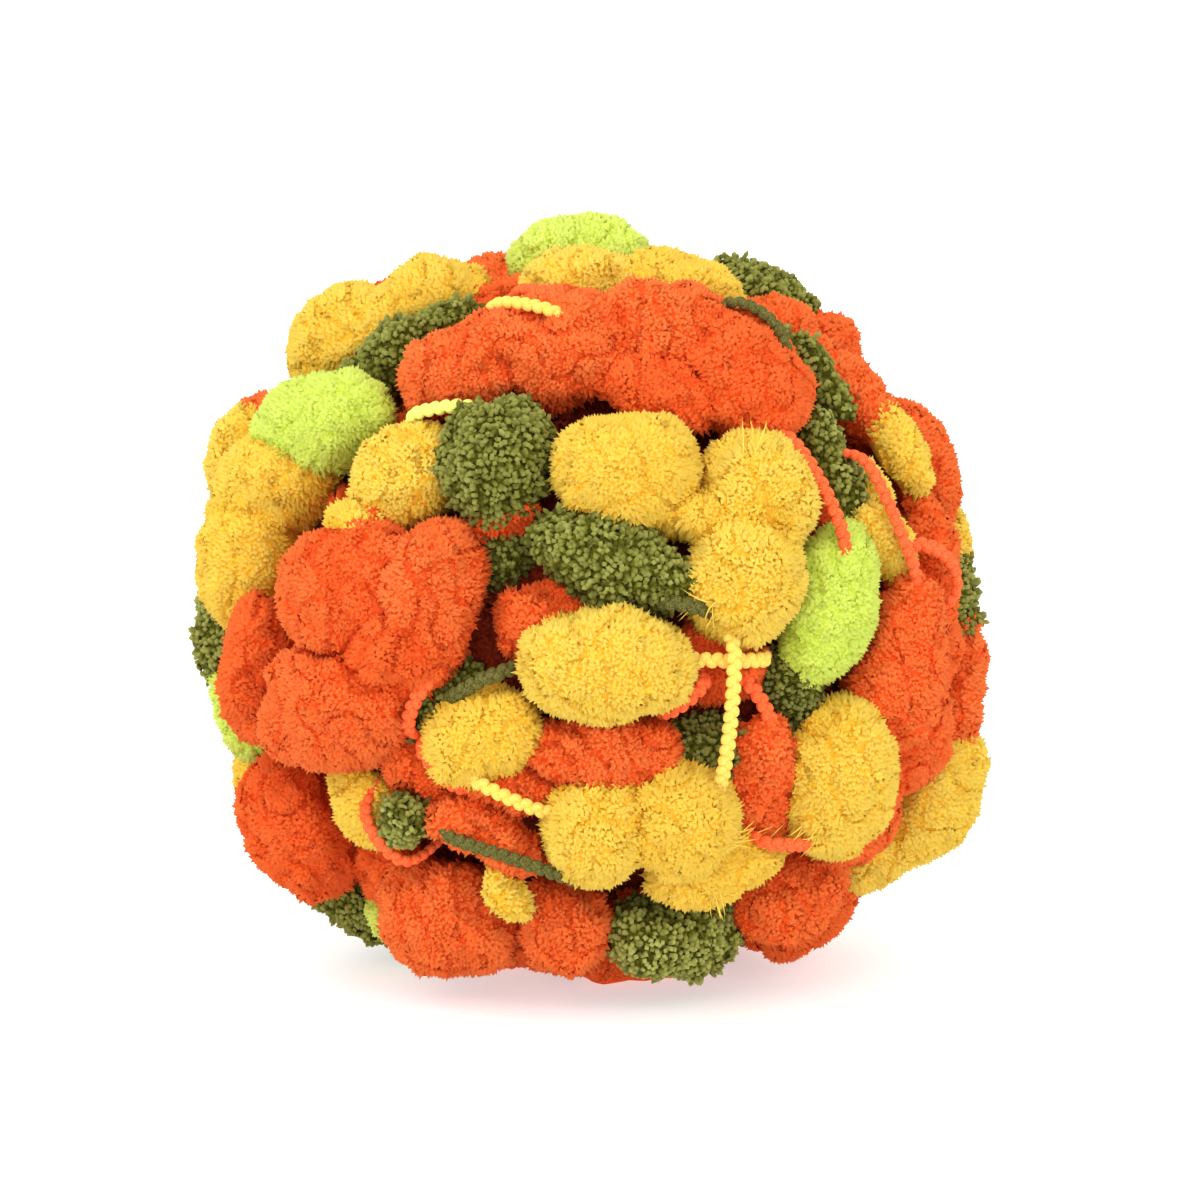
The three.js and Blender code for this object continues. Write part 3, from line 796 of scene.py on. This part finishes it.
def add_pile(name, colour, pompoms, material):
    """The tufts of some pompoms, as narrow cones or as plump curls, with soft shading."""
    tufts = all_tufts(pompoms)
    rings, sides = tuft_form(colour)
    corners, normals, heights = tuft_corners(tufts, pompoms[0].pile, rings, sides)
    count, each = corners.shape[:2]
    starts = each * np.arange(count)[:, None, None]
    faces = (ring_faces(len(rings), sides)[None] + starts).reshape(-1, 3)
    piece = new_piece(name, above_floor(corners.reshape(-1, 3)), faces, material, colour)
    piece.data.normals_split_custom_set_from_vertices(normals.reshape(-1, 3))
    height = np.tile(heights, count)
    shade = np.repeat(tufts.shade, each)
    give_values(piece, height=height, shade=shade, tinge=np.repeat(tufts.tinge, each))
    aside = np.cos(np.arange(each) * 2 * math.pi / sides)
    add_palette_map(piece, faces, height, across_map(tufts, aside) / len(pompoms))


def across_map(tufts, aside):
    """Where each corner of each tuft lies across the pile's map, in columns."""
    place = tufts.pompom + MAP_EDGE + (1 - 2 * MAP_EDGE) * tufts.shade
    return (place[:, None] + MAP_TUFT_WIDTH * aside).ravel()


def add_palette_map(piece, faces, height, across):
    """A map whose columns are the pompoms with their shades and whose height is the tufts'."""
    up = MAP_MARGIN + (1 - 2 * MAP_MARGIN) * height
    layer = piece.data.uv_layers.new(name="OFBake")
    layer.data.foreach_set("uv", np.column_stack([across, up])[faces.ravel()].ravel())


def places_seen(points):
    """Where points are seen, as (across, up)."""
    nearer = VIEW_DISTANCE / (VIEW_DISTANCE - points @ BACK)
    return np.column_stack([points @ RIGHT, points @ UP]) * nearer[:, None]


def bunch_of(row, feet, outward, random):
    """The feet and outward directions of a bunch's fibres, among those of its colour's tufts."""
    away = np.linalg.norm(places_seen(feet) - (row.across, row.up), axis=1)
    near = np.flatnonzero(away < WISP_REACH)
    forward = feet[near] @ BACK
    near = near[forward > forward.max() - WISP_BEHIND]
    chosen = random.choice(near, min(row.number, len(near)), replace=False)
    return feet[chosen], outward[chosen]


def fibre(foot, direction, bend):
    """One thin curved fibre that narrows to a point."""
    first, second = across_of(direction[None])
    corners = []
    for step in range(WISP_STEPS):
        share = step / WISP_STEPS
        middle = foot + (direction * share + bend * share**2) * WISP_LONG
        for side in range(WISP_SIDES):
            angle = side * 2 * math.pi / WISP_SIDES
            sideways = first[0] * math.cos(angle) + second[0] * math.sin(angle)
            corners.append(middle + sideways * (1 - share * WISP_TAPER) * WISP_WIDE / 2)
    corners.append(foot + (direction + bend) * WISP_LONG)
    return np.array(corners), ring_faces(WISP_STEPS, WISP_SIDES)


def add_wisps(colour, pompoms, material):
    """The loose fibres that stand out of one colour's pompoms."""
    feet = np.concatenate([pompom.tufts.feet for pompom in pompoms])
    outward = np.concatenate([pompom.tufts.outward for pompom in pompoms])
    random = np.random.default_rng(len(pompoms))
    fibres = []
    for row in named(WISP_COLUMNS, WISPS):
        if row.colour != colour:
            continue
        for foot, out in zip(*bunch_of(row, feet, outward, random)):
            spread = random.normal(scale=WISP_SPREAD, size=3)
            direction = unit(surface_direction(foot, row.turn) + out * WISP_RISE + spread)
            bend = random.normal(scale=WISP_BEND, size=3)
            fibres.append(fibre(foot, direction, bend))
    if fibres:
        corners, faces = joined(fibres)
        piece = new_piece(f"{colour}_wisps", corners, faces, material, colour)
        even = np.full(len(corners), WISP_SHADE)
        give_values(piece, height=even, shade=even, tinge=0 * even)


def in_groups(pompoms):
    """The pompoms in groups, each of few enough tufts for one piece."""
    rings, sides = tuft_form(pompoms[0].colour)
    faces_each = len(ring_faces(len(rings), sides))
    groups = [[]]
    total = 0
    for pompom in pompoms:
        faces = len(pompom.tufts.feet) * faces_each
        total += faces
        if total > PIECE_FACES:
            groups.append([])
            total = faces
        groups[-1].append(pompom)
    return groups


def bent(first, middle, last, t):
    """The number at a share t of the way from first, over middle at the half, to last."""
    pull = 2 * middle - (first + last) / 2
    return first * (1 - t) ** 2 + pull * 2 * t * (1 - t) + last * t**2


def route_of(cord):
    """Evenly spaced points along a cord, which goes in between the pompoms at both ends."""
    side = np.linspace(-1, 1, ROUTE_STEPS)
    end = np.abs(side)
    t = 0.5 + side * (0.5 + CORD_OVER)
    across = bent(cord.x1, cord.x2, cord.x3, t)
    up = bent(cord.y1, cord.y2, cord.y3, t)
    depth = CORD_BOW * end**2 + CORD_DIVE * end**CORD_DIVE_BEND
    points = np.array([seen_point(*place, cord.layer) for place in zip(across, up)])
    points = unit(points) * (cord.layer - depth)[:, None]
    along = np.concatenate([[0], np.cumsum(np.linalg.norm(np.diff(points, axis=0), axis=1))])
    count = int(along[-1] / STITCH_PITCH)
    wanted = (np.arange(count) + 0.5) / count * along[-1]
    return np.column_stack([np.interp(wanted, along, points[:, k]) for k in range(3)])


def stitches_of(cord):
    """A cord's stitches: plump ovals that lean to its left and right in turn."""
    ball, faces = icosphere(STITCH_DETAIL)
    points = route_of(cord)
    ahead = unit(np.gradient(points, axis=0))
    outward = unit(points)
    outward = unit(outward - ahead * (outward * ahead).sum(1)[:, None])
    sideways = np.cross(outward, ahead)
    parts = []
    for i, point in enumerate(points):
        side = 1 if i % 2 else -1
        angle = math.radians(STITCH_TURN) * side
        long = ahead[i] * math.cos(angle) + sideways[i] * math.sin(angle)
        wide = np.cross(outward[i], long)
        middle = point + sideways[i] * side * (CORD_WIDE - STITCH_WIDE) / 2
        size = np.array([STITCH_LONG, STITCH_WIDE, STITCH_WIDE]) / 2
        parts.append((middle + (ball * size) @ np.array([long, wide, outward[i]]), faces))
    return joined(parts)


def add_cords(colour, cords, material):
    """The cords of one colour."""
    corners, faces = joined([stitches_of(cord) for cord in cords])
    new_piece(f"{colour}_cords", corners, faces, material, colour)


def add_core(pompoms):
    """The tightly wound inside, plush too, which shows in the deepest gaps, in a dark yarn that is
    painted shade.
    """
    core = SimpleNamespace(
        middle=np.zeros(3),
        axes=np.eye(3),
        half=np.full(3, CORE_RADIUS),
        neighbours=pompoms,
        colour="deep",
        pile=named(PILE_COLUMNS, [PILES["deep"]])[0],
        tinge=0,
    )
    directions, faces = icosphere(CORE_DETAIL)
    points = directions * (CORE_RADIUS - BODY_INSET)
    body = new_piece("wound_core", above_floor(points), faces, body_material("deep"), "orange")
    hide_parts("yarn_ball")
    core.tufts = tufts_on(core, len(pompoms))
    add_pile("deep_pile", "orange", [core], pile_material("deep"))


def linear(hex_colour):
    """A colour as the shader wants it, from its sRGB code."""
    code = Color([level / 255 for level in bytes.fromhex(hex_colour[1:])])
    return (*code.from_srgb_to_scene_linear(), 1.0)


def new_material(name):
    """A material, its nodes and its shader."""
    material = bpy.data.materials.new(name)
    material.use_nodes = True
    tree = material.node_tree
    shader = next(node for node in tree.nodes if node.type == "BSDF_PRINCIPLED")
    return material, tree, shader


def value_node(tree, name):
    """The value that a piece's corners store under that name."""
    node = tree.nodes.new("ShaderNodeAttribute")
    node.attribute_name = name
    return node.outputs["Fac"]


def ramp(tree, factor, places, colours):
    """A colour ramp with the colours, as sRGB codes, at those places."""
    node = tree.nodes.new("ShaderNodeValToRGB")
    elements = node.color_ramp.elements
    while len(elements) < len(places):
        elements.new(places[-1])
    for element, place, colour in zip(elements, places, colours):
        element.position = place
        element.color = linear(colour)
    tree.links.new(factor, node.inputs["Fac"])
    return node.outputs["Color"]


def mixed(tree, factor, first, second):
    """The first colour, with the second one mixed in by a share of factor."""
    node = tree.nodes.new("ShaderNodeMix")
    node.data_type = "RGBA"
    colours = [socket for socket in node.inputs if socket.type == "RGBA"]
    for socket, value in zip((node.inputs["Factor"], *colours), (factor, first, second)):
        if isinstance(value, bpy.types.NodeSocket):
            tree.links.new(value, socket)
        else:
            socket.default_value = value
    return next(socket for socket in node.outputs if socket.type == "RGBA")


def bump(tree, shader, length, strength, depth):
    """Fine fibres as a bump, with their length and depth in millimetres."""
    places = tree.nodes.new("ShaderNodeTexCoord")
    noise = tree.nodes.new("ShaderNodeTexNoise")
    noise.inputs["Scale"].default_value = 1 / (length * MM)
    noise.inputs["Detail"].default_value = FIBRE_DETAIL
    tree.links.new(places.outputs["Object"], noise.inputs["Vector"])
    node = tree.nodes.new("ShaderNodeBump")
    node.inputs["Strength"].default_value = strength
    node.inputs["Distance"].default_value = depth * MM
    tree.links.new(noise.outputs["Fac"], node.inputs["Height"])
    tree.links.new(node.outputs["Normal"], shader.inputs["Normal"])
    return noise.outputs["Fac"]


def soften(shader, yarn):
    """Makes a shader matt plush."""
    shader.inputs["Roughness"].default_value = ROUGHNESS
    shader.inputs["Specular IOR Level"].default_value = SPECULAR
    shader.inputs["Sheen Weight"].default_value = SHEEN
    shader.inputs["Sheen Roughness"].default_value = SHEEN_ROUGHNESS
    shader.inputs["Sheen Tint"].default_value = linear(yarn.tip)


def pile_material(colour):
    """Cut pile with painted shade: darker at its foot, between clumps, in creases, in the lumps'
    hollows, where pompoms meet and deep in the gaps, lighter at its tips.
    """
    yarn = YARNS[colour]
    material, tree, shader = new_material(f"{colour}_pile")
    colours = (yarn.foot, yarn.side, yarn.tip)
    along = ramp(tree, value_node(tree, "height"), HEIGHT_STOPS, colours)
    shade = ramp(tree, value_node(tree, "shade"), SHADE_STOPS, colours)
    both = mixed(tree, SHADE_SHARE, along, shade)
    tinged = mixed(tree, value_node(tree, "tinge"), both, linear(yarn.tinge))
    tree.links.new(tinged, shader.inputs["Base Color"])
    soften(shader, yarn)
    return material


def body_material(colour):
    """The yarn between the tufts' feet, in their darker foot colour as painted shade, mottled
    towards the side colour.
    """
    yarn = YARNS[colour]
    material, tree, shader = new_material(f"{colour}_body")
    fibres = bump(tree, shader, *BODY_FIBRES)
    tone = ramp(tree, fibres, FIBRE_STOPS, (yarn.foot, yarn.side))
    tree.links.new(tone, shader.inputs["Base Color"])
    soften(shader, yarn)
    return material


def cord_material(colour):
    """Twisted thread with fine plies."""
    yarn = CORD_YARNS[colour]
    material, tree, shader = new_material(f"{colour}_cord")
    fibres = bump(tree, shader, *CORD_FIBRES)
    tone = ramp(tree, fibres, FIBRE_STOPS, (yarn.side, yarn.tip))
    tree.links.new(tone, shader.inputs["Base Color"])
    soften(shader, yarn)
    return material


def add_ball():
    """The whole ball, colour by colour."""
    seen = seen_pompoms()
    pompoms = seen + filled_pompoms(seen)
    tinges = np.random.default_rng(len(pompoms)).uniform(0, TINGE_MOST, len(pompoms))
    for pompom, tinge in zip(pompoms, tinges):
        pompom.tinge = tinge
        pompom.pile = named(PILE_COLUMNS, [PILES[pompom.colour]])[0]
        give_axes(pompom)
    for pompom in pompoms:
        pompom.neighbours = neighbours_of(pompom, pompoms)
    for seed, pompom in enumerate(pompoms):
        pompom.tufts = tufts_on(pompom, seed)
    add_core(pompoms)
    cords = named(CORD_COLUMNS, CORDS)
    for colour in CORD_YARNS:
        own = [pompom for pompom in pompoms if pompom.colour == colour]
        add_bodies(colour, own, body_material(colour))
        pile = pile_material(colour)
        for i, group in enumerate(in_groups(own), start=1):
            add_pile(f"{colour}_pile_{i}", colour, group, pile)
        add_wisps(colour, own, pile)
        add_cords(colour, [cord for cord in cords if cord.colour == colour], cord_material(colour))


def aimed(obj, place, target):
    """Puts a camera or lamp at a place, pointed at the target."""
    obj.location = place
    direction = target - place
    obj.rotation_mode = "QUATERNION"
    obj.rotation_quaternion = Vector(direction).to_track_quat("-Z", "Y")


def add_camera():
    """The camera at the photograph's viewpoint."""
    data = bpy.data.cameras.new("camera")
    camera = bpy.data.objects.new("camera", data)
    bpy.context.scene.collection.objects.link(camera)
    middle = BALL_MIDDLE * MM
    aimed(camera, middle + BACK * VIEW_DISTANCE * MM, middle)
    data.sensor_width = SENSOR
    data.lens = SENSOR * VIEW_DISTANCE / (PIXEL * PHOTO_SIDE)
    data.shift_x = (PHOTO_SIDE / 2 - PHOTO_MIDDLE_X) / PHOTO_SIDE
    data.shift_y = (PHOTO_MIDDLE_Y - PHOTO_SIDE / 2) / PHOTO_SIDE
    bpy.context.scene.camera = camera


def add_sun(name, strength, place):
    """A broad soft lamp."""
    data = bpy.data.lights.new(name, "SUN")
    data.energy = strength
    data.angle = LAMP_WIDTH
    lamp = bpy.data.objects.new(name, data)
    bpy.context.scene.collection.objects.link(lamp)
    aimed(lamp, np.array(place), BALL_MIDDLE * MM)


def add_floor():
    """A wide pale floor."""
    side = FLOOR_REACH
    mesh = bpy.data.meshes.new("floor")
    corners = [(-side, -side, 0), (side, -side, 0), (side, side, 0), (-side, side, 0)]
    mesh.from_pydata(corners, [], [range(len(corners))])
    floor = bpy.data.objects.new("floor", mesh)
    bpy.context.scene.collection.objects.link(floor)
    material, _, shader = new_material("pale_floor")
    shader.inputs["Base Color"].default_value = (FLOOR_TONE, FLOOR_TONE, FLOOR_TONE, 1)
    shader.inputs["Roughness"].default_value = FLOOR_ROUGHNESS
    shader.inputs["Emission Color"].default_value = (1, 1, 1, 1)
    shader.inputs["Emission Strength"].default_value = FLOOR_GLOW
    mesh.materials.append(material)


def add_surround():
    """White light from all around."""
    world = bpy.data.worlds.new("surround")
    world.use_nodes = True
    background = world.node_tree.nodes["Background"]
    background.inputs["Color"].default_value = (1, 1, 1, 1)
    background.inputs["Strength"].default_value = SURROUND
    bpy.context.scene.world = world


add_ball()
add_floor()
add_surround()
for lamp in named(LAMP_COLUMNS, LAMPS):
    add_sun(lamp.name, lamp.strength, lamp.place)
add_camera()
bpy.context.scene.view_settings.view_transform = "Standard"
